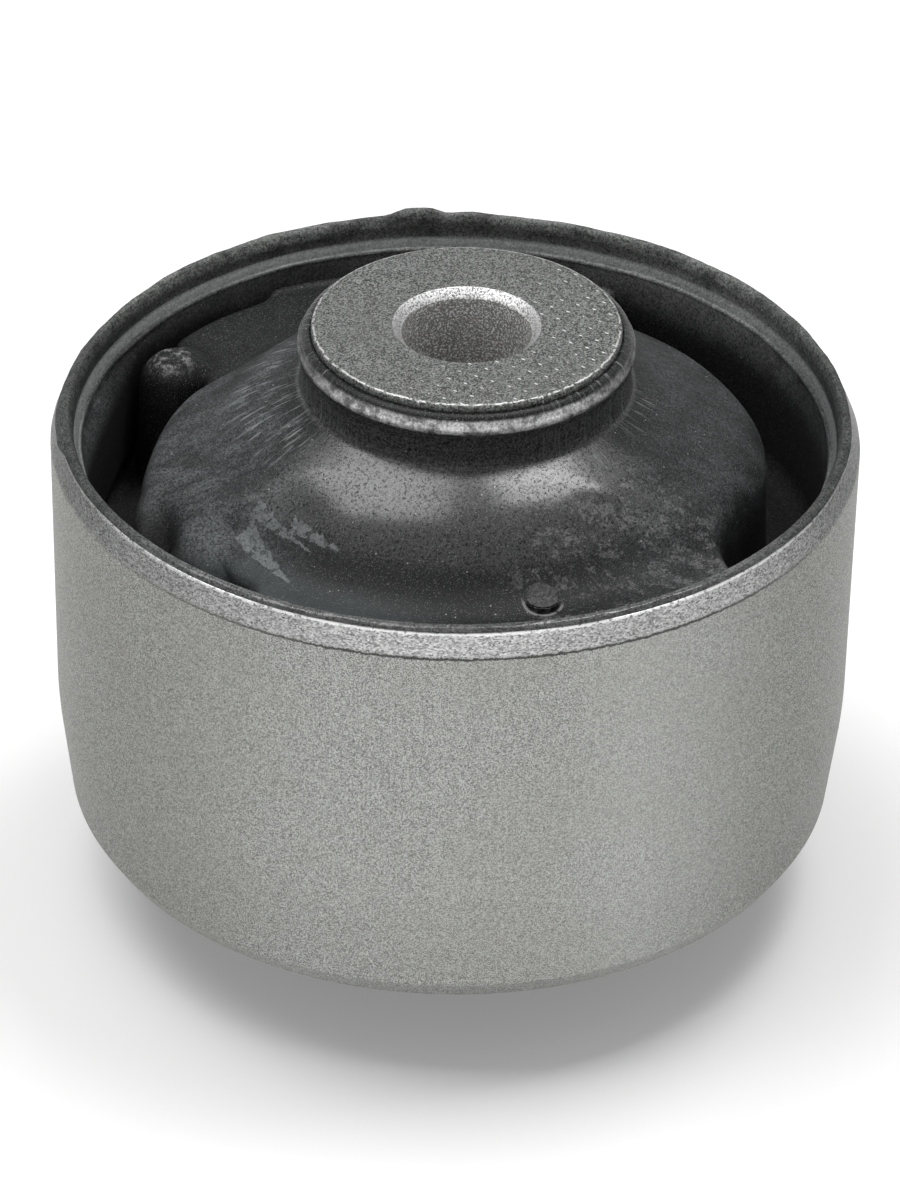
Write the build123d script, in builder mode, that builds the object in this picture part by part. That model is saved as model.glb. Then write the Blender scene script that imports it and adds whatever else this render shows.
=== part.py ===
"""Rubber-metal suspension bush.

Three pieces, bonded together in the mould:
  outer_sleeve  thin steel tube that is pressed into the arm
  rubber_body   one rubber moulding that joins the two metals
  inner_core    thick bored metal that the fixing bolt clamps

Millimetres. The origin lies on the sleeve's axis, in the plane of the core's
lower face, and +Z runs up along the axis. The core sits slightly off the
sleeve's axis, towards +X.
"""

import os
from math import cos, radians, sin, tan

from build123d import *

# ---- Outer sleeve -----------------------------------------------------------
sleeve_diameter = 78.0
sleeve_height = 42.4
sleeve_wall = 1.8
rim_chamfer_depth = 0.95
rim_chamfer_height = 2.2
nose_height = 10.0  # swaged lead-in, above the chamfer at the lower end
nose_depth = 1.1
nose_blend = 40.0
end_chamfer_depth = 1.2
end_chamfer_height = 2.0

# ---- Inner core -------------------------------------------------------------
core_diameter = 29.7
core_height = 62.0
core_offset = 0.9
core_edge_break = 0.3
bore_diameter = 12.5
bore_chamfer = 0.85

# ---- Rubber: collar, neck and bell round the core ---------------------------
collar_setback = 0.4  # bare metal left below each end face
collar_height = 2.2
collar_bulge = 0.75
ridge_height = 0.8  # a fine moulded line under the collar
ridge_bulge = 0.2
neck_thickness = 1.0
neck_blend = 1.2
shoulder_rise = 3.4  # of the neck's foot above the sleeve's rim
shoulder_slope = 25.0
bell_thickness = 6.65  # round the core, at the shoulder's edge
bell_draft = 40.0
bell_edge_blend = 2.5
bell_foot_blend = 1.5  # on the floor

# ---- Rubber: side lobes -----------------------------------------------------
lobe_setback = 5.1  # of a lobe's edge from the lining
lobe_corner = 6.0
lobe_drop = 0.35  # of a lobe's top below the bell's shoulder
lobe_angles = ((-42.0, 50.0), (152.0, 214.0))  # right, left
lobe_edge_blend = 1.5

# ---- Rubber: floor, lining and lip ------------------------------------------
floor_depth = 5.6  # of the annular floor below the rim
lining = 1.2
step_depths = (2.1, 2.9)  # two fine steps in the lining, below the rim
step_width = 0.4
lip_height = 0.45

# ---- Rubber: side pockets and what stands in them ---------------------------
pocket_width = 5.6
pocket_depth = 11.0  # below the annular floor
pocket_bottom_blend = 2.0
pocket_angles = ((-38.0, 52.0), (128.0, 232.0))  # right, left
hump_radius = 4.0
hump_blend = 3.2
hump_rise = 0.9  # of a hump's top above the annular floor
hump_inset = 4.0  # of a hump's axis from the lining
hump_angles = (152.0, 217.0)
pad_bulge = 1.3
pad_drop = 0.1  # of its top below the lining's first step
pad_angles = (158.0, 186.0)

# ---- Rubber: moulding marks -------------------------------------------------
stub_radius = 1.7
stub_height = 1.3
stub_setback = 8.4  # of its axis from the lining
stub_angle = -72.0
nub_height = 0.8
nub_angles = (93.0, 99.5)

pick_margin = 0.01  # when edges and corners are picked by their height

# ---- Levels and radii that follow -------------------------------------------
base = (core_height - sleeve_height) / 2
rim = base + sleeve_height
middle = core_height / 2
upper_floor = rim - floor_depth
lower_floor = base + floor_depth

sleeve_radius = sleeve_diameter / 2
wall_radius = sleeve_radius - sleeve_wall
rim_radius = sleeve_radius - rim_chamfer_depth
nose_foot = base + end_chamfer_height
nose_top = nose_foot + nose_height
lining_radius = wall_radius - lining

core_radius = core_diameter / 2
neck_radius = core_radius + neck_thickness
bell_radius = core_radius + bell_thickness
lobe_radius = lining_radius - lobe_setback
core_axis = Axis((core_offset, 0, 0), (0, 0, 1))
core_section = Plane(origin=(core_offset, 0, 0), x_dir=(1, 0, 0), z_dir=(0, -1, 0))


def lower_lining_radius(height):
    """Radius of the lining inside the swaged nose, at a height on it."""
    return lining_radius - nose_depth * (nose_top - height) / nose_height


def on_circle(radius, angle):
    """Plan position at a radius and angle about the sleeve's axis."""
    return radius * cos(radians(angle)), radius * sin(radians(angle))


def at_height(shapes, axis, height):
    """Those of the shapes whose centre lies at a height along an axis."""
    return shapes.filter_by_position(axis, height - pick_margin, height + pick_margin)


# ---- Outer sleeve: one revolved wall ----------------------------------------
with BuildPart() as outer_sleeve:
    with BuildSketch(Plane.XZ) as sleeve_section:
        with BuildLine():
            Polyline(
                (wall_radius - nose_depth, base),
                (sleeve_radius - nose_depth - end_chamfer_depth, base),
                (sleeve_radius - nose_depth, nose_foot),
                (sleeve_radius, nose_top),
                (sleeve_radius, rim - rim_chamfer_height),
                (rim_radius, rim),
                (wall_radius, rim),
                (wall_radius, nose_top),
                (wall_radius - nose_depth, nose_foot),
                close=True,
            )
        make_face()
        swage = at_height(sleeve_section.vertices(), Axis.Y, nose_top)
        fillet(swage.sort_by(Axis.X)[-1], nose_blend)
    revolve(axis=Axis.Z)
outer_sleeve.part.label = "outer_sleeve"

# ---- Inner core: turned bar with a chamfered bore ---------------------------
with BuildPart() as inner_core:
    with Locations((core_offset, 0, 0)):
        Cylinder(core_radius, core_height, align=(Align.CENTER, Align.CENTER, Align.MIN))
    chamfer(inner_core.edges().filter_by(GeomType.CIRCLE), core_edge_break)
    with Locations((core_offset, 0, middle)):
        Hole(bore_diameter / 2)
    mouths = inner_core.edges().filter_by(GeomType.CIRCLE).sort_by(SortBy.RADIUS)[:2]
    chamfer(mouths, bore_chamfer)
inner_core.part.label = "inner_core"

# ---- Rubber body ------------------------------------------------------------
shoulder_fall = tan(radians(shoulder_slope))
shoulder_foot = rim + shoulder_rise
bell_edge = shoulder_foot - (bell_radius - neck_radius) * shoulder_fall
bell_foot_radius = bell_radius + (bell_edge - upper_floor) * tan(radians(bell_draft))
cone_reach = lining_radius - core_offset
cone_top = shoulder_foot - lobe_drop
cone_edge = cone_top - (cone_reach - neck_radius) * shoulder_fall
collar_top = core_height - core_edge_break - collar_setback
collar_foot = collar_top - collar_height
ridge_foot = collar_foot - ridge_height
neck_room = 0.9 * (ridge_foot - shoulder_foot) * tan(radians(45 + shoulder_slope / 2))

with BuildPart() as half_bell:
    with BuildSketch(core_section) as bell_section:
        with BuildLine():
            Polyline((0, middle), (0, collar_top), (core_radius, collar_top))
            SagittaArc((core_radius, collar_top), (neck_radius, collar_foot), collar_bulge)
            SagittaArc((neck_radius, collar_foot), (neck_radius, ridge_foot), ridge_bulge)
            Polyline(
                (neck_radius, ridge_foot),
                (neck_radius, shoulder_foot),
                (bell_radius, bell_edge),
                (bell_foot_radius, upper_floor),
                (bell_foot_radius + bell_foot_blend, upper_floor),
                (bell_foot_radius + bell_foot_blend, middle),
                (0, middle),
            )
        make_face()
        neck_foot = at_height(bell_section.vertices(), Axis.Y, shoulder_foot)
        fillet(neck_foot, min(neck_blend, neck_room))  # limited by the neck's length
        fillet(at_height(bell_section.vertices(), Axis.Y, bell_edge), bell_edge_blend)
        bell_feet = at_height(bell_section.vertices(), Axis.Y, upper_floor)
        fillet(bell_feet.sort_by(Axis.X)[0], bell_foot_blend)
    revolve(axis=core_axis)

with BuildPart() as half_lobes:
    with BuildSketch(Plane.XY.offset(middle)) as lobe_plan:
        for first, last in lobe_angles:
            with BuildLine():
                Line((0, 0), on_circle(lobe_radius, first))
                CenterArc((0, 0), lobe_radius, first, last - first)
                Line(on_circle(lobe_radius, last), (0, 0))
            make_face()
        tips = lobe_plan.vertices().group_by(SortBy.DISTANCE)[-1]
        fillet(tips, lobe_corner)
    extrude(amount=shoulder_foot - middle)
    with BuildSketch(core_section):
        with BuildLine():
            Polyline(
                (0, middle),
                (0, cone_top),
                (neck_radius, cone_top),
                (cone_reach, cone_edge),
                (cone_reach, middle),
                close=True,
            )
        make_face()
    revolve(axis=core_axis, mode=Mode.INTERSECT)
    crests = half_lobes.faces().filter_by(GeomType.CONE).edges()
    fillet(crests.filter_by(GeomType.CIRCLE, reverse=True), lobe_edge_blend)


def pocket_cutter(wall, bottom, mouth):
    """Two kidney-shaped plugs with rounded bottoms, inside the lining's wall."""
    with BuildPart() as cutter:
        with BuildSketch(Plane.XY.offset(bottom)):
            for first, last in pocket_angles:
                run = last - first
                line = CenterArc((0, 0), wall - pocket_width / 2, first, run, mode=Mode.PRIVATE)
                SlotArc(line, pocket_width)
        extrude(amount=mouth - bottom)
        fillet(at_height(cutter.edges(), Axis.Z, bottom), pocket_bottom_blend)
    return cutter.part


upper_pockets = pocket_cutter(lining_radius, upper_floor - pocket_depth, shoulder_foot)
lower_wall = lower_lining_radius(lower_floor)
lower_pockets = pocket_cutter(lower_wall, lower_floor + pocket_depth, core_height - shoulder_foot)

hump_top = upper_floor + hump_rise
with BuildPart() as hump:
    Cylinder(hump_radius, hump_top - middle, align=(Align.CENTER, Align.CENTER, Align.MIN))
    fillet(hump.faces().sort_by(Axis.Z)[-1].edges(), hump_blend)

with BuildPart() as rubber_body:
    # lining, steps and lip, with the solid web between the two floors
    with BuildSketch(Plane.XZ):
        with BuildLine():
            Polyline(
                (0, lower_floor),
                (lower_lining_radius(lower_floor), lower_floor),
                (lower_lining_radius(nose_foot), nose_foot),
                (lower_lining_radius(nose_foot), base),
                (wall_radius - nose_depth, base),
                (wall_radius - nose_depth, nose_foot),
                (wall_radius, nose_top),
                (wall_radius, rim),
                (rim_radius, rim),
                (rim_radius, rim + lip_height),
                (lining_radius + 2 * step_width, rim + lip_height),
                (lining_radius + 2 * step_width, rim - step_depths[0]),
                (lining_radius + step_width, rim - step_depths[0]),
                (lining_radius + step_width, rim - step_depths[1]),
                (lining_radius, rim - step_depths[1]),
                (lining_radius, upper_floor),
                (0, upper_floor),
                close=True,
            )
        make_face()
    revolve(axis=Axis.Z)

    # the same bell and lobes stand out of both floors
    add(half_bell.part)
    add(half_lobes.part)
    add(mirror(half_bell.part, Plane.XY.offset(middle), mode=Mode.PRIVATE))
    add(mirror(half_lobes.part, Plane.XY.offset(middle), mode=Mode.PRIVATE))

    # side pockets, sunk from both ends
    add(upper_pockets, mode=Mode.SUBTRACT)
    add(lower_pockets, mode=Mode.SUBTRACT)

    # round humps near both ends of the left pocket, and the stop pad on its wall
    for angle in hump_angles:
        x, y = on_circle(lining_radius - hump_inset, angle)
        add(hump.part.moved(Location((x, y, middle))))
        x, y = on_circle(lower_wall - hump_inset, angle)
        add(hump.part.moved(Location((x, y, middle), (180, 0, 0))))
    pad_depth = pad_bulge + lining / 2
    pad_centre = lining_radius + lining / 2 - pad_depth / 2
    with BuildSketch(Plane.XY.offset(middle)):
        first, last = pad_angles
        line = CenterArc((0, 0), pad_centre, first, last - first, mode=Mode.PRIVATE)
        SlotArc(line, pad_depth)
    extrude(amount=rim - step_depths[1] - pad_drop - middle)

    # gate stub on the front of the floor, and the nub on the back of the lip
    x, y = on_circle(lining_radius - stub_setback, stub_angle)
    with Locations((x, y, upper_floor)):
        Cylinder(stub_radius, stub_height, align=(Align.CENTER, Align.CENTER, Align.MIN))
    lip_radius = (rim_radius + lining_radius + 2 * step_width) / 2
    with BuildSketch(Plane.XY.offset(rim)):
        first, last = nub_angles
        line = CenterArc((0, 0), lip_radius, first, last - first, mode=Mode.PRIVATE)
        SlotArc(line, rim_radius - lip_radius)
    extrude(amount=lip_height + nub_height)

    with Locations((core_offset, 0, middle)):
        Hole(core_radius)
rubber_body.part.label = "rubber_body"

os.makedirs("parts", exist_ok=True)
export_step(outer_sleeve.part, "parts/outer_sleeve.step")
export_step(rubber_body.part, "parts/rubber_body.step")
export_step(inner_core.part, "parts/inner_core.step")
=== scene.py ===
"""Rubber-metal suspension bush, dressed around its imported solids.

Sizes are in millimetres unless a name says otherwise, and become metres as
each mesh is made. The frame's origin is on the sleeve's axis, in the plane of
the core's lower face. Angles are in degrees about that axis, from +X to +Y,
and a bearing is the same angle in radians.
"""

import math

import bmesh
import bpy
import numpy as np
from mathutils import Matrix, Vector


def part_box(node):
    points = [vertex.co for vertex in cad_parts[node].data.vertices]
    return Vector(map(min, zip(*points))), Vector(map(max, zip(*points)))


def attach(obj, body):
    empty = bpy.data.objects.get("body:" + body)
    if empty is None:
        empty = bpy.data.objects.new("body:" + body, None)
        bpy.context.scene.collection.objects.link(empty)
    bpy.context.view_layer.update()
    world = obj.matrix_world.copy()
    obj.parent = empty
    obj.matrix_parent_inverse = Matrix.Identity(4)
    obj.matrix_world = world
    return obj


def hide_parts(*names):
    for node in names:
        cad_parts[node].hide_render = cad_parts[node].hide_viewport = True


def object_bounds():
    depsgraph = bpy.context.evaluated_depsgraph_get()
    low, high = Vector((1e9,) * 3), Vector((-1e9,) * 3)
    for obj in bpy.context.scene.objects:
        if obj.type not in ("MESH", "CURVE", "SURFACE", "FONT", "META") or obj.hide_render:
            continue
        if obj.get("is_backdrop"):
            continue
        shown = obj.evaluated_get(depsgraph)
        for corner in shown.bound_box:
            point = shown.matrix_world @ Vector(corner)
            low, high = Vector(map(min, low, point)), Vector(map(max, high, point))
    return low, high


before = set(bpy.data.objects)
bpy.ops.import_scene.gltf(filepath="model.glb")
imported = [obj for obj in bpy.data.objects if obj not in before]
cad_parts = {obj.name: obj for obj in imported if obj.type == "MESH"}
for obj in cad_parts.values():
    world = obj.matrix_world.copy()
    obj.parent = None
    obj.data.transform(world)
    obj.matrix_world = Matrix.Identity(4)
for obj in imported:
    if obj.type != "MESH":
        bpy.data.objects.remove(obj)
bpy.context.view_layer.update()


# ---- Outer sleeve -----------------------------------------------------------
# A short thin-walled steel tube, cut, chamfered at both ends and drawn in to a
# lead-in at the lower one. It is shot-blasted before the rubber is bonded to
# its inside, which leaves a fine even grain.

MM = 0.001
TURN = 2 * math.pi

sleeve_low, sleeve_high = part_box("outer_sleeve")
sleeve_radius = sleeve_high.x / MM
sleeve_wall = 1.8
sleeve_inside = sleeve_radius - sleeve_wall
sleeve_foot = sleeve_low.z / MM
rim = sleeve_high.z / MM
rim_radius = sleeve_radius - 0.95  # where the upper chamfer ends
chamfer_foot = rim - 2.2
nose_depth = 1.1
nose_foot = sleeve_foot + 2.0
nose_top = nose_foot + 10.0
end_radius = sleeve_radius - 2.3  # where the lower chamfer ends


def rounded_path(corners, spacing):
    """Closed outline through (radius, height, blend) corners, with its corners blended."""
    count = len(corners)
    path = []
    for i, (x, y, blend) in enumerate(corners):
        here = np.array((x, y), float)
        back = np.array(corners[i - 1][:2], float) - here
        ahead = np.array(corners[(i + 1) % count][:2], float) - here
        to_back, to_ahead = np.linalg.norm(back), np.linalg.norm(ahead)
        back, ahead = back / to_back, ahead / to_ahead
        corner = math.acos(float(np.clip(back @ ahead, -1, 1)))
        reach = min(blend / math.tan(corner / 2), 0.49 * to_back, 0.49 * to_ahead)
        first, last = here + back * reach, here + ahead * reach
        steps = max(2, int(math.ceil(2 * reach / spacing)))
        for t in np.linspace(0, 1, steps + 1):
            path.append((1 - t) ** 2 * first + 2 * t * (1 - t) * here + t * t * last)
    filled = []
    for i, point in enumerate(path):
        ahead = path[(i + 1) % len(path)]
        steps = max(1, int(np.linalg.norm(ahead - point) / spacing))
        filled += [point + (ahead - point) * t / steps for t in range(steps)]
    return np.array(filled)


def ring_mesh(name, points, close_rows=True):
    """Mesh of a grid of points that closes round the axis, and along its rows if asked."""
    turns, rows, _ = points.shape
    index = np.arange(turns * rows).reshape(turns, rows)
    across = np.roll(index, -1, axis=0)
    last = rows if close_rows else rows - 1
    here, ahead = index[:, :last], np.roll(index, -1, axis=1)[:, :last]
    side, corner = across[:, :last], np.roll(across, -1, axis=1)[:, :last]
    faces = np.stack((here, side, corner, ahead), axis=-1).reshape(-1, 4)
    mesh = bpy.data.meshes.new(name)
    mesh.from_pydata((points.reshape(-1, 3) * MM).tolist(), [], faces.tolist())
    mesh.shade_smooth()
    return mesh


def turned(path, turns, axis_x=0.0):
    """Grid of points of a section turned round an upright axis."""
    bearing = np.linspace(0, TURN, turns, endpoint=False)[:, None]
    x = axis_x + path[None, :, 0] * np.cos(bearing)
    y = path[None, :, 0] * np.sin(bearing)
    z = np.broadcast_to(path[None, :, 1], x.shape)
    return np.stack((x, y, z), axis=-1)


def ripple(bearing, seed, waves, size):
    """Smooth random wobble that closes round the axis; waves are cycles a turn."""
    draw = np.random.default_rng(seed)
    total = np.zeros_like(bearing)
    for cycles in waves:
        total += draw.normal() * np.sin(cycles * bearing + draw.uniform(0, TURN))
    return size * total / math.sqrt(len(waves))


class Shade:
    """A socket of a material's node tree, for use in Python expressions."""

    def __init__(self, tree, socket=None):
        self.tree = tree
        self.socket = socket

    def node(self, kind, settings=None, inputs=None, output=0):
        """Adds a node: its settings first, then the values or links of its sockets."""
        made = self.tree.nodes.new(kind)
        for name, value in (settings or {}).items():
            setattr(made, name, value)
        for name, value in (inputs or {}).items():
            if isinstance(value, Shade):
                self.tree.links.new(value.socket, made.inputs[name])
            else:
                made.inputs[name].default_value = value
        return Shade(self.tree, made.outputs[output])

    def maths(self, operation, *values):
        """A Math node on the values in their order."""
        inputs = dict(enumerate(values))
        return self.node("ShaderNodeMath", {"operation": operation}, inputs)

    def __add__(self, other):
        return self.maths("ADD", self, other)

    def __radd__(self, other):
        return self.maths("ADD", other, self)

    def __sub__(self, other):
        return self.maths("SUBTRACT", self, other)

    def __rsub__(self, other):
        return self.maths("SUBTRACT", other, self)

    def __mul__(self, other):
        return self.maths("MULTIPLY", self, other)

    def __truediv__(self, other):
        return self.maths("DIVIDE", self, other)

    def __abs__(self):
        return self.maths("ABSOLUTE", self)

    def root(self):
        return self.maths("SQRT", self)

    def folded(self, step):
        """Runs from 0 up to step and back to 0, over and over."""
        return self.maths("PINGPONG", self, step)

    def or_more(self, other):
        return self.maths("MAXIMUM", self, other)

    def or_less(self, other):
        return self.maths("MINIMUM", self, other)

    def above(self, low, high):
        """0 below low, 1 above high and smooth between them."""
        settings = {"interpolation_type": "SMOOTHSTEP", "clamp": True}
        inputs = {"Value": self, "From Min": low, "From Max": high}
        return self.node("ShaderNodeMapRange", settings, inputs)

    def within(self, low, high, soft):
        """1 between two levels, fading to 0 over a soft margin outside them."""
        return self.above(low - soft, low) * (1 - self.above(high, high + soft))

    def blend(self, bare, covered):
        """Colour that goes from bare to covered as this mask goes from 0 to 1."""
        settings = {"data_type": "RGBA", "clamp_factor": True}
        return self.node("ShaderNodeMix", settings, {0: self, 6: bare, 7: covered}, 2)

    def noise(self, vector, scale, detail=2.0, roughness=0.5):
        """Noise from 0 to 1 with about scale cells a millimetre."""
        inputs = {"Vector": vector, "Scale": scale, "Detail": detail, "Roughness": roughness}
        return self.node("ShaderNodeTexNoise", None, inputs)

    def grains(self, vector, scale):
        """A random level from 0 to 1 for each grain, with about scale grains a millimetre."""
        inputs = {"Vector": vector, "Scale": scale}
        return self.node("ShaderNodeTexVoronoi", None, inputs, "Color")

    def stretched(self, vector, scale):
        """The same vector with each axis scaled."""
        settings = {"operation": "MULTIPLY"}
        return self.node("ShaderNodeVectorMath", settings, {0: vector, 1: scale})


def grey(level, warmth=0.0, green=0.0):
    """Linear colour of an 8-bit grey level, with a little warmth or green in it."""
    shades = (level + warmth, level + green, level - warmth)
    linear = [((s / 255 + 0.055) / 1.055) ** 2.4 for s in shades]
    return (*linear, 1.0)


def finish_named(name):
    """New material, the wrapped start of its tree, and its surface shader."""
    material = bpy.data.materials.new(name)
    material.use_nodes = True
    tree = material.node_tree
    return material, Shade(tree), tree.nodes["Principled BSDF"]


def in_millimetres(start):
    """Object position in millimetres, and its three parts."""
    place = start.node("ShaderNodeTexCoord", output="Object")
    place = start.stretched(place, (1 / MM, 1 / MM, 1 / MM))
    parts = [start.node("ShaderNodeSeparateXYZ", None, {0: place}, axis) for axis in "XYZ"]
    return place, parts


def connect(shader, **links):
    """Links shades to the surface shader's sockets, and sets its plain values."""
    for name, value in links.items():
        socket = shader.inputs[name.replace("_", " ")]
        if isinstance(value, Shade):
            value.tree.links.new(value.socket, socket)
        else:
            socket.default_value = value


def bumped(start, height, distance, strength=1.0):
    """Normal from a height in millimetres."""
    inputs = {"Height": height, "Distance": distance * MM, "Strength": strength}
    return start.node("ShaderNodeBump", None, inputs)


def make_piece(name, mesh, material, node):
    """A piece that stands for one CAD node and rides on the part's one body."""
    mesh.materials.append(material)
    piece = bpy.data.objects.new(name, mesh)
    bpy.context.scene.collection.objects.link(piece)
    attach(piece, "root")
    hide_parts(node)


# each corner's radius, height and blend, from the lower end up outside and down inside
sleeve_corners = [
    (sleeve_inside - nose_depth, sleeve_foot, 0.12),
    (end_radius, sleeve_foot, 0.3),
    (sleeve_radius - nose_depth, nose_foot, 0.5),
    (sleeve_radius, nose_top, 40.0),
    (sleeve_radius, chamfer_foot, 0.22),
    (rim_radius, rim, 0.2),
    (sleeve_inside, rim, 0.1),
    (sleeve_inside, nose_top, 4.0),
    (sleeve_inside - nose_depth, nose_foot, 2.0),
]
sleeve_path = rounded_path(sleeve_corners, 0.45)
sleeve_turns = 480
sleeve_points = turned(sleeve_path, sleeve_turns)

# the chamfer's foot is a little ragged, where the cutter left the wall
around = np.linspace(0, TURN, sleeve_turns, endpoint=False)
ragged = ripple(around, 3, (3, 7, 23, 41, 67, 103, 151), 0.05)
near_foot = np.exp(-(((sleeve_path[:, 1] - chamfer_foot) / 0.35) ** 2))
near_foot *= sleeve_path[:, 0] > sleeve_inside + 0.5
sleeve_points[:, :, 2] += ragged[:, None] * near_foot[None, :]
sleeve_mesh = ring_mesh("outer_sleeve_blasted", sleeve_points)

blasted_steel, start, steel = finish_named("blasted_steel")
place, (x, y, z) = in_millimetres(start)
grain = start.grains(place, 11.5)
rough = start.noise(place, 5.0, 4.0, 0.75)
cloud = start.noise(place, 0.06, 3.0, 0.55)
peel = start.noise(place, 2.2, 2.0, 0.5)
glint = start.grains(start.stretched(place, (0.7, 0.7, 1.3)), 7.0)
crinkle = start.noise(start.stretched(place, (0.7, 0.7, 1.4)), 2.6, 4.0, 0.7)
jag = start.noise(place, 1.6, 4.0, 0.75) * 0.6 - 0.3

# where the surface lies
at_side = abs(x).above(10.0, 38.0)
in_front = (0 - y).above(10.0, 34.0) * (1 - (0 - x).above(8.0, 30.0) * 0.45)
upper_band = z.above(38.0, 49.0)
chamfered = z.above(chamfer_foot + 0.05, chamfer_foot + 0.25)
seam_shade = (z + jag).within(chamfer_foot - 0.14, chamfer_foot + 0.02, 0.08)
top_edge = (z + jag * 0.9).within(rim - 0.22, rim + 0.4, 0.06)

# the wall: a speckled grey with faint clouds, with painted shade round the sides
# and a band of painted sheen right of the front
wall_tone = grain.above(0.1, 0.9).blend(grey(103, 1, 2), grey(196, 1, 2))
wall_tone = (rough.above(0.56, 0.66) * 0.35).blend(wall_tone, grey(112, 1, 2))
wall_tone = (cloud.above(0.4, 0.65) * 0.25).blend(wall_tone, grey(150, 4, 4))
# a paler band right of the front: painted sheen
sheen_band = x.above(8.0, 20.0) * (1 - x.above(24.0, 34.0))
wall_tone = (sheen_band * 0.25).blend(wall_tone, grey(206, 0, 2))
# darker tone round the sides: painted shade
side_shade_tone = grain.above(0.1, 0.9).blend(grey(60, 2, 3), grey(150, 2, 3))
wall_tone = (at_side * 0.7).blend(wall_tone, side_shade_tone)

# the chamfer: bare metal, with a painted highlight in front and painted shade elsewhere,
# a painted highlight along its upper edge and a thin line of painted shade at its foot
# darker chamfer tone is painted shade, the brighter one a painted highlight
chamfer_shade_tone = glint.blend(grey(34, 0, 1), grey(128, 0, 1))
chamfer_highlight_tone = glint.blend(grey(84), grey(216))
tone = chamfered.blend(wall_tone, in_front.blend(chamfer_shade_tone, chamfer_highlight_tone))
# painted highlight along the chamfer's upper edge, strongest in front
edge_highlight = top_edge * (0.1 + in_front * 0.7) * peel.above(0.36, 0.46)
tone = edge_highlight.blend(tone, grey(240))
# painted shade in the groove at the chamfer's foot, in front
tone = (seam_shade * in_front * 0.85).blend(tone, grey(50))
height = rough * 0.6 + peel * (0.2 + upper_band * 0.6) + crinkle * chamfered * 0.9
connect(
    steel,
    Base_Color=tone,
    Metallic=0.85,
    Roughness=0.5 + grain * 0.1 - chamfered * 0.14,
    Normal=bumped(start, height, 0.06, 0.9),
)
make_piece("outer_sleeve_blasted", sleeve_mesh, blasted_steel, "outer_sleeve")


# ---- Inner core -------------------------------------------------------------
# A thick-walled metal bush with a chamfered bore for the fixing bolt. It is
# faced, blasted and bonded into the rubber, and only its ends and its bore
# stay bare. The top face keeps rows of small marks from its serrating tool.

core_x = 0.9  # of its axis, off the sleeve's
core_radius = 14.85
core_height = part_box("inner_core")[1].z / MM
bore_radius = 6.25
bore_chamfer = 0.85

core_corners = [
    (core_radius, 0.0, 0.3),
    (core_radius, core_height, 0.3),
    (bore_radius + bore_chamfer, core_height, 0.12),
    (bore_radius, core_height - bore_chamfer, 0.12),
    (bore_radius, bore_chamfer, 0.12),
    (bore_radius + bore_chamfer, 0.0, 0.12),
]
core_path = rounded_path(core_corners, 0.4)
core_mesh = ring_mesh("inner_core_faced", turned(core_path, 270, core_x))

faced_metal, start, metal = finish_named("faced_metal")
place, (x, y, z) = in_millimetres(start)
grain = start.grains(place, 7.0)
pits = start.noise(place, 5.0, 4.0, 0.7)
dents = start.noise(place, 1.6, 3.0, 0.6)
cloud = start.noise(place, 0.12, 2.0, 0.5)
from_axis = x - core_x
radius = (from_axis * from_axis + y * y).root()
in_bore = 1 - radius.above(bore_radius + 0.02, bore_radius + 0.2)
mouth = radius.within(bore_radius + 0.1, bore_radius + bore_chamfer - 0.05, 0.1)
rub = start.noise(place, 1.2, 4.0, 0.7) * 0.5
worn = (radius + rub).within(core_radius - 0.02, core_radius + 0.1, 0.05)

# the serrating tool's marks stand in slanting rows, clearest to the right
row_step = (1.55, -0.85)
line_step = (0.58, -2.2)
cross = row_step[0] * line_step[1] - row_step[1] * line_step[0]
across_rows = (x * line_step[1] - y * line_step[0]) / cross
along_lines = (y * row_step[0] - x * row_step[1]) / cross
mark = across_rows.folded(0.5).above(0.36, 0.44) * along_lines.folded(0.5).above(0.44, 0.47)
mark = mark * (x - y * 0.6).above(-2.0, 8.0) * dents.above(0.36, 0.5) * (1 - in_bore)

# a pitted grey face, a brighter bore with a bright mouth and a painted highlight on
# the mouth's far side, and a worn outer edge
tone = grain.above(0.1, 0.9).blend(grey(38, 0, 2), grey(134, 0, 2))
tone = (pits.above(0.54, 0.62) * 0.8).blend(tone, grey(26))
tone = (cloud.above(0.35, 0.7) * 0.2).blend(tone, grey(96, 1, 2))
tone = (mark * 0.85).blend(tone, grey(226))
bore_tone = pits.above(0.48, 0.6).blend(grey(140, 2, 1), grey(255))
tone = in_bore.blend(tone, bore_tone)
mouth_tone = pits.above(0.4, 0.6).blend(grey(130), grey(214))
tone = (mouth * 0.8).blend(tone, mouth_tone)
# painted highlight on the far side of the bore's mouth
far_mouth_highlight_tone = pits.above(0.44, 0.5).blend(grey(100), grey(208))
tone = (mouth * y.above(1.0, 5.0) * 0.8).blend(tone, far_mouth_highlight_tone)
tone = (worn * dents.above(0.42, 0.5) * 0.8).blend(tone, grey(186))
connect(
    metal,
    Base_Color=tone,
    Metallic=0.85 - in_bore * 0.6,
    Roughness=0.5 - mouth * 0.12,
    Normal=bumped(start, pits * 0.8 + dents * 0.6 + mark * 0.8, 0.07, 0.9),
)
make_piece("inner_core_faced", core_mesh, faced_metal, "inner_core")


# ---- Rubber body ------------------------------------------------------------
# One natural-rubber moulding, bonded to both metals: a collar, neck and bell
# round the core, two side lobes, deep kidney pockets beside them, and a thin
# lining with a lip over the sleeve's rim. Both ends are moulded alike.

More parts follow.
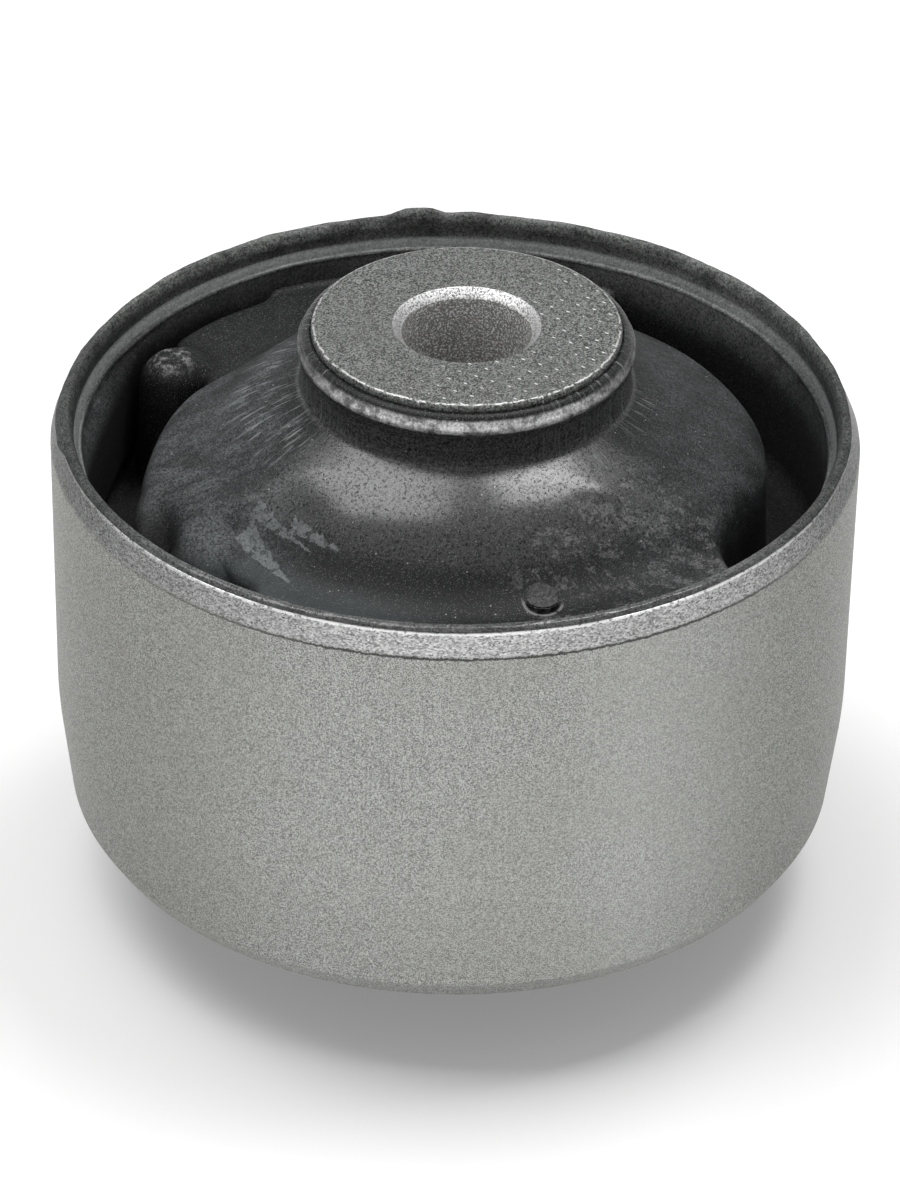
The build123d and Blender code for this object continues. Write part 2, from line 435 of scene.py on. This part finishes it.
lining_wall = 1.2
lining_radius = sleeve_inside - lining_wall
wall_top = rim - 3.1  # of the lining's plain wall, below its ridge
ledge_foot = rim - 2.48
ledge_top = rim - 1.78
lip_foot = rim - 0.8
lip_top = rim + 0.45
bond_edge = core_height - 0.8  # where the rubber starts on the core's side
bead_top = core_height - 0.66
bead_waist = core_height - 1.65
bead_foot = core_height - 2.5
ridge_foot = core_height - 3.2
neck_end = core_height - 5.7  # of its straight part, above the blend into the bell
neck_radius = core_radius + 1.0
neck_foot = rim + 3.4
shoulder_fall = math.tan(math.radians(25))
bell_radius = 21.5
bell_fall = math.tan(math.radians(50))
bell_edge = neck_foot - (bell_radius - neck_radius) * shoulder_fall
bell_blend = 1.6
lobe_drop = 0.35
lobe_edge_blend = 2.2
lobe_foot_blend = 1.8
floor_blend = 3.2
cleft_depth = 5.5
crest_blend = 1.5
bottom_blend = 2.0  # between the pockets' inner wall and their bottom
corner_blend = 2.0  # between the pockets' bottom and the lining
pocket_slope = 20.0
round_share = 0.98  # of a round's reach, past which the straight wall starts
turns = 340

angle = np.arange(turns) * 360.0 / turns
bearing = np.radians(angle)


def turn_from(angle, centre):
    """Angle from a centre, between -180 and 180."""
    return (angle - centre + 180) % 360 - 180


def outline(knots, soften):
    """A size against the angle, through (angle, size) knots, with its corners softened."""
    angles, sizes = zip(*knots)
    every = np.arange(0.0, 360.0, 0.5)
    table = np.interp(every, angles, sizes, period=360)
    weight = np.exp(-0.5 * (turn_from(every, 0) / soften) ** 2)
    table = np.fft.ifft(np.fft.fft(table) * np.fft.fft(weight / weight.sum())).real
    return every, table


# radius of the lobes' crest and of the pockets' inner wall, and height of the
# floor and of the pockets' bottom, all against the angle
lobe_edge = outline([
    (-110, 19), (-56, 20), (-44, 24), (-34, 27.6), (-24, 28.4), (-8, 29.2), (4, 29.4),
    (20, 28.6), (36, 27.4), (48, 25.6), (60, 22), (70, 20), (110, 19), (143, 19.5), (152, 21.5),
    (159, 24.8), (165, 26.6), (172, 27.6), (184, 28.6), (194, 30.0), (203, 32.0), (208, 31),
    (214, 27), (222, 22), (236, 19),
], 2.5)
pocket_wall = outline([
    (-110, 38), (-45, 38), (-40, 36), (-36, 32.1), (-32, 29.6), (-27, 28.8), (-19, 28.9),
    (-13, 29.7), (-7, 30.1), (2, 30.1), (10, 29.9), (19, 29.3), (27, 28.8), (36, 28.4),
    (46, 27.6), (55, 28.5), (60, 32), (65, 38), (119, 38), (123, 35.4), (128, 35.0),
    (145, 34.8), (149, 32), (152, 28), (157, 27.4), (165, 27.9), (171, 28.5), (177, 29.0),
    (184, 29.7), (194, 31.0), (199, 32.3), (203, 33.1), (210, 33.2), (212, 32), (215, 30),
    (220, 29.2), (231, 29.2), (234, 31), (237, 34), (240, 38),
], 1.2)
floor_height = outline([
    (-90, 47.0), (-60, 47.4), (-42, 47.6), (40, 47.4), (70, 47.0), (110, 47.0), (122, 47.3),
    (135, 47.9), (155, 47.6), (210, 47.0), (240, 47.0),
], 5.0)
pocket_bottom = outline([
    (-60, 38), (-40, 35.6), (50, 35.6), (70, 38), (118, 44), (130, 42), (146, 38),
    (156, 35.6), (212, 35.6), (226, 38), (240, 42),
], 4.0)
# angle, radius, size, height and blend of each round hump in the left pocket
humps = ((152.0, 31.5, 3.7, 49.3, 2.2), (216.5, 28.2, 4.4, 48.3, 2.4))
# where the cleft between the left lobe's front end and its hump starts and ends
cleft_start = (-27.6, -10.0)
cleft_end = (-26.9, -18.0)


def smooth_max(a, b, k):
    """The larger of two heights, blended where they cross."""
    mix = np.clip(0.5 + 0.5 * (a - b) / k, 0, 1)
    return b + (a - b) * mix + k * mix * (1 - mix)


def smooth_min(a, b, k):
    """The smaller of two heights, blended where they cross."""
    return -smooth_max(-a, -b, k)


def smooth_step(low, high, value):
    """0 below low, 1 above high and smooth between them."""
    t = np.clip((value - low) / (high - low), 0, 1)
    return t * t * (3 - 2 * t)


def moulded_height(x, y):
    """Height of the upper moulded end face at a place in plan."""
    angle = np.degrees(np.arctan2(y, x))
    radius = np.hypot(x, y)
    from_core = np.hypot(x - core_x, y)
    shoulder = neck_foot - (from_core - neck_radius) * shoulder_fall
    bell_wall = bell_edge - (from_core - bell_radius) * bell_fall
    bell = smooth_min(shoulder, bell_wall, bell_blend)
    past_edge = radius - np.interp(angle, *lobe_edge, period=360)
    lobes = shoulder - lobe_drop - smooth_max(past_edge, 0.0, lobe_edge_blend)
    surface = smooth_max(bell, lobes, lobe_foot_blend)
    level = np.interp(angle, *floor_height, period=360)
    surface = smooth_max(surface, level, floor_blend)

    # the cleft, which deepens towards the lining and is steeper on the hump's side
    along = np.clip((cleft_start[1] - y) / (cleft_start[1] - cleft_end[1]), 0, 1.2)
    across = x - cleft_start[0] - along * (cleft_end[0] - cleft_start[0])
    half_width = np.where(across < 0, 1.7, 1.0)
    surface = surface - cleft_depth * along**1.4 * np.exp(-((across / half_width) ** 2))

    # pockets: a rounded crest, a steep inner wall and a rounded bottom
    into = radius - np.interp(angle, *pocket_wall, period=360) + crest_blend
    rounded = np.clip(into, 0, round_share * crest_blend)
    sunk = crest_blend - np.sqrt(crest_blend**2 - rounded**2)
    sunk += pocket_slope * np.maximum(into - round_share * crest_blend, 0)
    bottom = np.interp(angle, *pocket_bottom, period=360)
    pocket = smooth_max(surface - sunk, bottom, bottom_blend)
    corner = np.clip(corner_blend - (lining_radius - radius), 0, corner_blend)
    filled = corner_blend - np.sqrt(corner_blend**2 - corner**2)
    pocket += np.clip(sunk / 3, 0, 1) * filled
    surface = np.where(sunk > 0, np.minimum(pocket, surface), surface)

    for hump_angle, hump_radius, size, top, blend in humps:
        centre_x = hump_radius * math.cos(math.radians(hump_angle))
        centre_y = hump_radius * math.sin(math.radians(hump_angle))
        away = np.hypot(x - centre_x, y - centre_y) / size
        dome = top - size * (1 - np.sqrt(1 - np.clip(away, 0, round_share) ** 2))
        dome -= pocket_slope * size * np.maximum(away - round_share, 0)
        surface = smooth_max(surface, np.maximum(dome, bottom - 3), blend)
    return surface


def end_rows(rows):
    """Rows of points over one moulded end face, from the neck to the lining."""
    fine = 600
    reach = np.linspace(0, 1, fine)
    inner = neck_radius + 0.2
    radius = inner + (lining_radius - inner) * reach
    # the rows run about the core at the neck, and about the sleeve at the lining
    about_core = 1 - smooth_step(0.0, 0.55, reach)
    x = core_x * about_core + radius * np.cos(bearing)[:, None]
    y = radius * np.sin(bearing)[:, None]
    height = moulded_height(x, y)

    # rows are spaced by their run along the surface and partly by that in plan,
    # and the spacing is evened out between neighbours
    run = (lining_radius - inner) / fine
    length = np.cumsum(np.hypot(run, np.gradient(height, axis=1)) + 0.8 * run, axis=1)
    for _ in range(10):
        length = (length + np.roll(length, 1, 0) + np.roll(length, -1, 0)) / 3
    length = (length - length[:, :1]) / (length[:, -1:] - length[:, :1])
    picked = np.empty((turns, rows, 3))
    for i in range(turns):
        at = np.interp(np.linspace(0, 1, rows), length[i], reach)
        for axis, values in enumerate((x, y, height)):
            picked[i, :, axis] = np.interp(at, reach, values[i])
    return picked


def ring(radius, height, axis_x=0.0):
    """One row round an axis; the radius and the height may change with the angle."""
    x = axis_x + radius * np.cos(bearing)
    y = radius * np.sin(bearing)
    return np.stack(np.broadcast_arrays(x, y, height), axis=-1)[:, None, :]


def arc(start, end, bulge, steps):
    """Points of a shallow arc from one (radius, height) point to another."""
    t = np.linspace(0, 1, steps, endpoint=False)[:, None]
    start, end = np.array(start), np.array(end)
    outwards = np.array((start[1] - end[1], end[0] - start[0]))
    outwards = outwards / np.linalg.norm(outwards)
    return start + (end - start) * t + outwards * bulge * 4 * t * (1 - t)


def profile(start, *arcs):
    """Points of a chain of arcs; each arc gives its end, its bulge and its steps."""
    chain = []
    for end, bulge, steps in arcs:
        chain.append(arc(start, end, bulge, steps))
        start = end
    return np.concatenate(chain)


def collar_rows(foot):
    """Rows from the bond at the core's end, over the bead and a fine ridge, to the bell."""
    path = profile(
        (core_radius, bond_edge),
        ((core_radius + 0.3, bead_top), 0.0, 2),
        ((neck_radius + 0.15, bead_waist), 0.2, 8),
        ((neck_radius + 0.1, bead_foot), 0.24, 7),
        ((neck_radius + 0.01, ridge_foot), 0.12, 6),
        ((neck_radius - 0.01, neck_end), 0.0, 5),
    )
    rows = []
    for i, (radius, height) in enumerate(path):
        uneven = ripple(bearing, 11, (2, 3, 5), 0.03) + ripple(bearing, 40 + i, (9, 14, 31), 0.01)
        below_bead = smooth_step(bead_waist + 0.15, bead_foot - 0.5, height)
        sagging = 0.12 * np.cos(bearing - math.radians(250)) * below_bead
        rows.append(ring(radius + uneven * min(i, 5) / 5, height - sagging, core_x))
    last = rows[-1][:, 0]
    for t in (0.3, 0.65):
        rows.append((last + (foot - last) * t)[:, None, :])
    return np.concatenate(rows, axis=1)


upper_face = end_rows(138)
upper_collar = collar_rows(upper_face[:, 0])
wall_foot = upper_face[:, -1, 2]

# the stop pad swells the lining beside the left lobe
pad_angle = 171
pad_reach = 22  # to either side
pad_bulge = 1.5
pad = smooth_step(0, 1, 1 - np.abs(turn_from(angle, pad_angle)) / pad_reach) ** 0.6
upper_lining = []
for t in np.linspace(0.06, 1, 18):
    height = wall_foot + (wall_top - wall_foot) * t
    on_pad = pad * smooth_step(34, 38, height) * (1 - smooth_step(46.5, wall_top, height))
    upper_lining.append(ring(lining_radius - pad_bulge * on_pad, height))

# above the wall: a fine ridge, a groove, a sloping ledge, and the lip over the
# rim, with a thin spill of rubber at its left and a nub at the back
ledge_and_lip = profile(
    (lining_radius, wall_top + 0.1),
    ((lining_radius + 0.12, ledge_foot - 0.1), 0.1, 5),
    ((lining_radius + 0.3, ledge_foot), -0.06, 3),
    ((lining_radius + 0.72, ledge_top), 0.04, 6),
    ((lining_radius + 0.78, lip_foot), -0.04, 5),
    ((sleeve_inside, lip_top), 0.1, 7),
    ((rim_radius - 0.25, lip_top), 0.04, 5),
    ((rim_radius + 0.07, rim), 0.06, 4),
)
spill_angle = 168
spill_reach = 27  # to either side
nub_angle = 96.5
low_nub_angle = 88
spill = smooth_step(0, 1, (spill_reach - np.abs(turn_from(angle, spill_angle))) / 5)
nub = np.exp(-((turn_from(angle, nub_angle) / 3.6) ** 4))
nub += 0.35 * np.exp(-((turn_from(angle, low_nub_angle) / 3) ** 2))
wander = ripple(bearing, 21, (3, 5, 11, 17), 0.07)
for i, (radius, height) in enumerate(ledge_and_lip):
    on_lip = smooth_step(lip_foot - 0.2, rim + 0.1, height)
    outside = smooth_step(sleeve_inside + 0.4, rim_radius + 0.05, radius)
    ragged = ripple(bearing, 60 + i, (23, 37, 53, 71, 89), 0.035)
    row_radius = radius + ragged * on_lip + wander * (0.4 + outside) + 0.3 * spill * outside
    row_height = height + ragged * 0.8 + wander * 0.8 * (1 - on_lip) + 0.75 * nub * on_lip
    upper_lining.append(ring(row_radius, row_height - 0.5 * spill * outside))
upper_lining.append(ring(rim_radius - 0.05, rim - 0.01 - spill * 0.4))
upper_lining.append(ring(sleeve_inside, rim - 0.01))

# the bond to the sleeve, down its inside and its nose
bonded = [ring(sleeve_inside, height) for height in (46.0, 38.0, 30.0, nose_top)]
bonded += [ring(sleeve_inside - nose_depth, height) for height in (nose_foot, sleeve_foot + 0.1)]

# the lower end is the upper one turned over, drawn in to the sleeve's nose
drawn_in = 0.75 / lining_radius  # as a share, at the lining
lower_face = end_rows(38)
outwards = smooth_step(20, lining_radius, np.hypot(lower_face[:, :, 0], lower_face[:, :, 1]))
lower_face[:, :, :2] *= (1 - drawn_in * outwards)[:, :, None]
lower_face[:, :, 2] = core_height - lower_face[:, :, 2]
lower_collar = collar_rows(upper_face[:, 0])[:, ::3]
lower_collar[:, :, 2] = core_height - lower_collar[:, :, 2]
lower_wall = lower_face[:, -1]
lower_lip = ring(lining_radius - nose_depth, sleeve_foot + 0.1)[:, 0]
lower_lining = []
for t in np.linspace(1, 0.1, 8):
    lower_lining.append((lower_wall + (lower_lip - lower_wall) * t)[:, None, :])

rows = [upper_collar, upper_face, *upper_lining, *bonded, *lower_lining]
rows += [lower_face[:, ::-1], lower_collar[:, ::-1]]
rubber_points = np.concatenate(rows, axis=1)
rubber_mesh = ring_mesh("rubber_body_moulded", rubber_points[:, ::-1])

# the gate stub, which stands on the floor in front of the bell and is cut off flat
gate_turn = -72.0
gate_reach = 27.0  # from the sleeve's axis
gate_x = gate_reach * math.cos(math.radians(gate_turn))
gate_y = gate_reach * math.sin(math.radians(gate_turn))
gate_radius = 1.6
gate_draft = 0.1
gate_edge = 0.12
gate_top = 47.9
gate_height = 2.6  # down to its end inside the floor
gate_place = Vector((gate_x, gate_y, gate_top - gate_height / 2)) * MM
form = bmesh.new()
form.from_mesh(rubber_mesh)
stub = bmesh.ops.create_cone(
    form,
    cap_ends=True,
    segments=48,
    radius1=(gate_radius + gate_draft) * MM,
    radius2=gate_radius * MM,
    depth=gate_height * MM,
    matrix=Matrix.Translation(gate_place),
)
stub_top = [v for v in stub["verts"] if v.co.z > gate_place.z]
stub_rim = [e for e in form.edges if e.verts[0] in stub_top and e.verts[1] in stub_top]
bmesh.ops.bevel(form, geom=stub_rim, offset=gate_edge * MM, segments=2, affect="EDGES")
form.to_mesh(rubber_mesh)
form.free()

black_rubber, start, rubber = finish_named("black_rubber")
place, (x, y, z) = in_millimetres(start)
from_axis = x - core_x
from_core = (from_axis * from_axis + y * y).root()
radius = (x * x + y * y).root()
# bearing from the front, positive to the right
turn = start.maths("ARCTAN2", from_axis, 0 - y)
aside = abs(turn)
grain = start.noise(place, 3.4, 5.0, 0.8)
fine = start.noise(place, 8.0, 1.0, 0.5)
dots = start.grains(place, 6.5)
mottle = start.noise(place, 0.9, 4.0, 0.65)
cloud = start.noise(place, 0.16, 4.0, 0.6)
smear = start.noise(start.stretched(place, (0.5, 1.0, 1.0)), 0.5, 5.0, 0.7)
jagged = start.noise(place, 1.5, 4.0, 0.65) - 0.5
worn_through = start.noise(place, 1.3, 5.0, 0.7).above(0.53, 0.57)

# specks of grit: small cells whose middle is close
grit_cell = {"Vector": place, "Scale": 0.8, "Randomness": 1.0}
grit = 1 - start.node("ShaderNodeTexVoronoi", None, grit_cell).above(0.04, 0.08)
grit = grit * mottle.above(0.4, 0.55)

# fine radial streaks, left by wiping
fan = start.node("ShaderNodeCombineXYZ", None, {0: turn * 40.0, 1: from_core * 0.25})
streak = start.noise(fan, 1.0, 4.0, 0.7)


def near(centre, inner, outer):
    """1 close to a place in plan, fading to 0 at the outer distance."""
    away_x, away_y = x - centre[0], y - centre[1]
    return 1 - (away_x * away_x + away_y * away_y).root().above(inner, outer)


def flake(start_at, end_at, width):
    """A ragged mark in plan that is widest where it starts and ends in a point."""
    run = math.dist(start_at, end_at)
    way = ((end_at[0] - start_at[0]) / run, (end_at[1] - start_at[1]) / run)
    along = (x - start_at[0]) * way[0] + (y - start_at[1]) * way[1]
    across = abs((x - start_at[0]) * way[1] - (y - start_at[1]) * way[0])
    edge = width - along * (width / run) - across + jagged
    return edge.above(0.0, 0.07) * (along + jagged).above(0.0, 0.1)


# where the surface lies
left = 1 - x.above(-19.0, -12.0)
right = x.above(13.0, 21.0)
behind = y.above(4.0, 26.0)
# the back-left flank faces away from the lamps; bloom is held back there as painted shade
back_left_shade = (1 - x.above(-15.0, -9.0)) * y.above(6.0, 12.0)
in_front = 1 - aside.above(0.5, 1.3)
far_left = 1 - x.above(-25.0, -22.0)
# the pockets' depths, which get painted shade below
low = (1 - z.above(42.5, 47.5)).or_more(far_left * (1 - z.above(46.0, 48.6)))
on_bell = from_core.above(neck_radius + 0.2, neck_radius + 0.7)
on_neck = (1 - on_bell) * (1 - z.above(ridge_foot + 0.1, bead_foot - 0.1))
above_bead = z.above(bead_waist + 0.25, bead_waist + 0.65)
on_bead = z.above(bead_foot - 0.2, bead_foot + 0.2) * (1 - above_bead)
on_lip = radius.above(lining_radius + 0.7, lining_radius + 0.9)
on_lip = on_lip * z.above(lip_foot - 0.2, lip_foot + 0.2)
on_ledge = z.within(ledge_foot - 0.02, ledge_top + 0.08, 0.15)
on_ledge = on_ledge * radius.above(lining_radius - 0.1, lining_radius + 0.05)
on_wall = radius.above(lining_radius - 1.4, lining_radius - 0.2) * (1 - on_lip)
upright = (1 - low) * on_bell

# pale bloom, heaviest on the side lobes and held back at the back left as painted shade,
# and a painted highlight on the top of the hump in front of the left one
bloom_and_hump_highlight = cloud.above(0.24, 0.56) * (left * 0.9 + right * 0.52)
bloom_and_hump_highlight = bloom_and_hump_highlight * (0.35 + smear.above(0.38, 0.6) * 0.65) * upright * (1 - back_left_shade * 0.9)
bloom_and_hump_highlight = bloom_and_hump_highlight * (0.35 + from_core.above(neck_radius + 1.0, neck_radius + 3.5) * 0.65)
# painted highlight on the top of the hump in front of the left lobe
bloom_and_hump_highlight = bloom_and_hump_highlight + near((-23.6, -17.4), 1.5, 3.6) * 0.85

# dust that stayed when the bell's front was wiped, a painted sheen at its left foot,
# and the wiping's own marks
dusted = smear.above(0.46, 0.54) * mottle.above(0.47, 0.56) * x.above(2.0, 9.0)
dusted = dusted * (0 - y).above(10.0, 15.0) * upright
# a pale teal patch at the bell's left front foot: painted sheen
foot_sheen = (1 - z.above(46.8, 48.2)) * (1 - x.above(-9.0, 2.0)) * (0 - y).above(16.0, 20.0)
wiped_left = turn.within(-2.0, -1.05, 0.2) * from_core.within(16.5, 21.0, 3.0)
wiped_right = turn.within(0.6, 1.5, 0.2) * from_core.within(15.0, 17.5, 1.5)
wiped = streak.above(0.52, 0.68) * (wiped_left + wiped_right * 0.8) * (1 - low)
rubbed = smear.above(0.48, 0.6) * on_neck * aside.above(0.6, 1.1)

# a scuff of three pointed flakes on the bell's left
scuff = flake((-19.8, -16.3), (-14.8, -23.4), 1.1)
scuff = scuff.or_more(flake((-18.7, -15.0), (-12.8, -20.9), 0.6))
scuff = scuff.or_more(flake((-15.2, -17.6), (-9.9, -21.9), 0.6))
scuff = scuff * upright * (1 - worn_through * 0.8)

# the gate stub's cut face, and a pale crescent round the front of its foot, partly thin
# flash and partly a painted glint
gate = (gate_x, gate_y)
gate_cut = near(gate, gate_radius - 0.2, gate_radius - 0.1)
gate_cut = gate_cut * z.above(gate_top - 0.1, gate_top - 0.05)
gate_flash_glint = 1 - near(gate, gate_radius + 0.1, gate_radius + 0.2)
gate_flash_glint = near(gate, gate_radius + 0.35, gate_radius + 0.45) * gate_flash_glint
gate_flash_glint = gate_flash_glint * (1 - y.above(gate_y - 0.7, gate_y)) * mottle.above(0.38, 0.46)

# painted shade round the back hump in the left pocket, and pale speckle on the hump's top,
# partly bloom and partly a painted highlight
slot_shade = near((-27.8, 14.8), 3.8, 5.8) * (1 - z.above(46.8, 48.8))
dome = near((-28.6, 14.4), 1.5, 3.4) * z.above(47.6, 48.8)
speckled = grain.above(0.38, 0.62) * 0.5 + dots.above(0.2, 0.8) * 0.5


def dappled(dark, light, *tint):
    """Speckled colour between two grey levels."""
    return speckled.blend(grey(dark, *tint), grey(light, *tint))


bare_tone = speckled.blend(grey(2), grey(32, -1))
tone = bloom_and_hump_highlight.blend(bare_tone, dappled(20, 102, -2, 1))
tone = (dusted * 0.6).blend(tone, dappled(20, 124))
tone = (foot_sheen * (0.3 + smear * 0.6)).blend(tone, grey(70, -3, 2))
tone = (on_neck * 0.9).blend(tone, dappled(14, 92))
rubbed_tone = speckled.blend(grey(24), grey(96, -2, 2))
tone = (rubbed * 0.8).blend(tone, rubbed_tone)
tone = (wiped * 0.8).blend(tone, grey(140, -2, 1))
wall_bloom = on_wall * z.above(44.0, 49.5) * (0.04 + behind * 0.96) * smear.above(0.1, 0.6)
# less wall bloom at the back left: painted shade
tone = (wall_bloom * (1 - back_left_shade * 0.5)).blend(tone, dappled(60, 140, 0, 2))
# pale bloom on the bead, brightest in front as a painted highlight
bead_bloom_and_highlight = on_bead * (0.2 + mottle.above(0.36, 0.6) * 0.8) * (0.2 + in_front * 0.8)
tone = bead_bloom_and_highlight.blend(tone, dappled(160, 255))
tone = (on_ledge * (0.8 - right * 0.35)).blend(tone, dappled(110, 150, -1, 1))
lip_bloom = on_lip * (0.3 + smear.above(0.36, 0.6) * 0.6)
tone = lip_bloom.blend(tone, dappled(12, 90, 0, 2))
tone = (lip_bloom * behind * 0.8).blend(tone, dappled(56, 156, 0, 2))
# painted shade in the pockets' depths, over the bloom and marks above
tone = (low * 0.9).blend(tone, dappled(8, 36))
# near-black painted shade in the left pocket round the back hump
tone = slot_shade.blend(tone, grey(4))
# pale speckle on the back hump's top-left, partly bloom and partly a painted highlight
tone = (dome * mottle.above(0.46, 0.6) * 0.7).blend(tone, dappled(40, 170))
tone = (fine.above(0.62, 0.7) * 0.5 * (1 - low * 0.5)).blend(tone, grey(124))
tone = (grit * 0.6 * (1 - low)).blend(tone, grey(190))
tone = (scuff * (0.4 + speckled * 0.6)).blend(tone, grey(118, -2, 1))
tone = (gate_cut * 0.9).blend(tone, dappled(40, 96))
# pale crescent at the stub's front foot: flash and a painted glint
tone = (gate_flash_glint * 0.7).blend(tone, grey(130))

# dust and the cut take the shine off, as does age at the sides and on the floor
foot = 1 - z.above(48.0, 51.0)
dry = bloom_and_hump_highlight * 0.8 + wiped * 0.5 + dusted * 0.5 + on_lip * 0.6 + foot * 0.5
dry = dry + scuff + gate_cut + slot_shade + aside.above(0.8, 1.1) * on_bell * 0.6

# the shoulder's front is polished by handling, and so is the bead's
polish = on_bell * z.above(48.8, 51.4) * (1 - aside.above(0.8, 1.02))
polish = polish * speckled * 1.8 * (0.6 + smear) + on_bead * in_front
connect(
    rubber,
    Base_Color=tone,
    Roughness=0.22 + dry.or_less(1.0) * 0.42 + grain * 0.1,
    Specular_IOR_Level=0.15,
    Coat_Weight=polish.or_less(1.0),
    Coat_Roughness=0.22,
    Normal=bumped(start, grain * 0.5 + fine * 0.2 + mottle * 0.3, 0.1, 0.6),
)
make_piece("rubber_body_moulded", rubber_mesh, black_rubber, "rubber_body")


# ---- Floor ------------------------------------------------------------------
# A plain pale floor. The camera and the metal's reflections see it as white,
# and it keeps the soft shadow under the sleeve.

floor_radius = 4.0  # metres
floor_glow = 0.2


def seen_directly(start):
    """1 for what the camera sees straight, mirrored or through glass, and 0 for light."""
    seen = 0.0
    for ray in ("Is Camera Ray", "Is Glossy Ray", "Is Transmission Ray"):
        seen = start.node("ShaderNodeLightPath", output=ray) + seen
    return seen


bpy.ops.mesh.primitive_circle_add(vertices=96, radius=floor_radius, fill_type="NGON")
floor = bpy.context.object
floor.name = "floor"
pale_floor, start, _ = finish_named("pale_floor")
glow_inputs = {"Color": grey(255), "Strength": seen_directly(start) * floor_glow}
glow = start.node("ShaderNodeEmission", None, glow_inputs)
diffuse = start.node("ShaderNodeBsdfDiffuse", None, {"Color": grey(236)})
surface = start.node("ShaderNodeAddShader", None, {0: diffuse, 1: glow})
output = start.tree.nodes["Material Output"]
start.tree.links.new(surface.socket, output.inputs["Surface"])
floor.data.materials.append(pale_floor)
floor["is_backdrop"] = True


# ---- Light ------------------------------------------------------------------
# Two softboxes overhead, left and right, and a weak one in front of the sleeve,
# in an even white surround.

surround_fill = 0.25

world = bpy.data.worlds.new("surround")
bpy.context.scene.world = world
world.use_nodes = True
sky = Shade(world.node_tree)
background = world.node_tree.nodes["Background"]
background.inputs["Color"].default_value = (1, 1, 1, 1)
strength = seen_directly(sky) * (1 - surround_fill) + surround_fill
world.node_tree.links.new(strength.socket, background.inputs["Strength"])


def softbox(name, direction, distance, size, power):
    """Square area lamp, in metres and watts, turned to the part's upper end."""
    lamp = bpy.data.lights.new(name, "AREA")
    lamp.shape = "SQUARE"
    lamp.size = size
    lamp.energy = power
    holder = bpy.data.objects.new(name, lamp)
    bpy.context.scene.collection.objects.link(holder)
    towards = Vector(direction).normalized()
    holder.location = towards * distance + Vector((0, 0, core_height * MM))
    holder.rotation_euler = towards.to_track_quat("Z", "Y").to_euler()


softbox("softbox_left", (-0.35, 0.06, 0.935), distance=0.8, size=0.5, power=4.2)
softbox("softbox_right", (0.29, 0.17, 0.942), distance=0.8, size=0.32, power=3.4)
softbox("softbox_front", (0.0, -0.97, 0.24), distance=1.0, size=0.45, power=1.0)


# ---- Camera -----------------------------------------------------------------
# Long lens, looking down at the part's front at about 34 degrees, with a
# slight roll.

camera_place = (0.0, -0.42897, 0.31720)  # metres
looks_down = 33.769
camera_turn = 0.00057  # radians, as is the roll
camera_roll = 0.01733

lens = bpy.data.cameras.new("camera")
lens.sensor_width = 36.0
lens.lens = 157.02
camera = bpy.data.objects.new("camera", lens)
bpy.context.scene.collection.objects.link(camera)
camera.location = camera_place
camera.rotation_euler = (math.radians(90 - looks_down), 0.0, camera_turn)
camera.rotation_euler.rotate_axis("Z", camera_roll)
bpy.context.scene.camera = camera
bpy.context.scene.view_settings.view_transform = "Standard"

bpy.context.view_layer.update()
low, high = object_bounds()
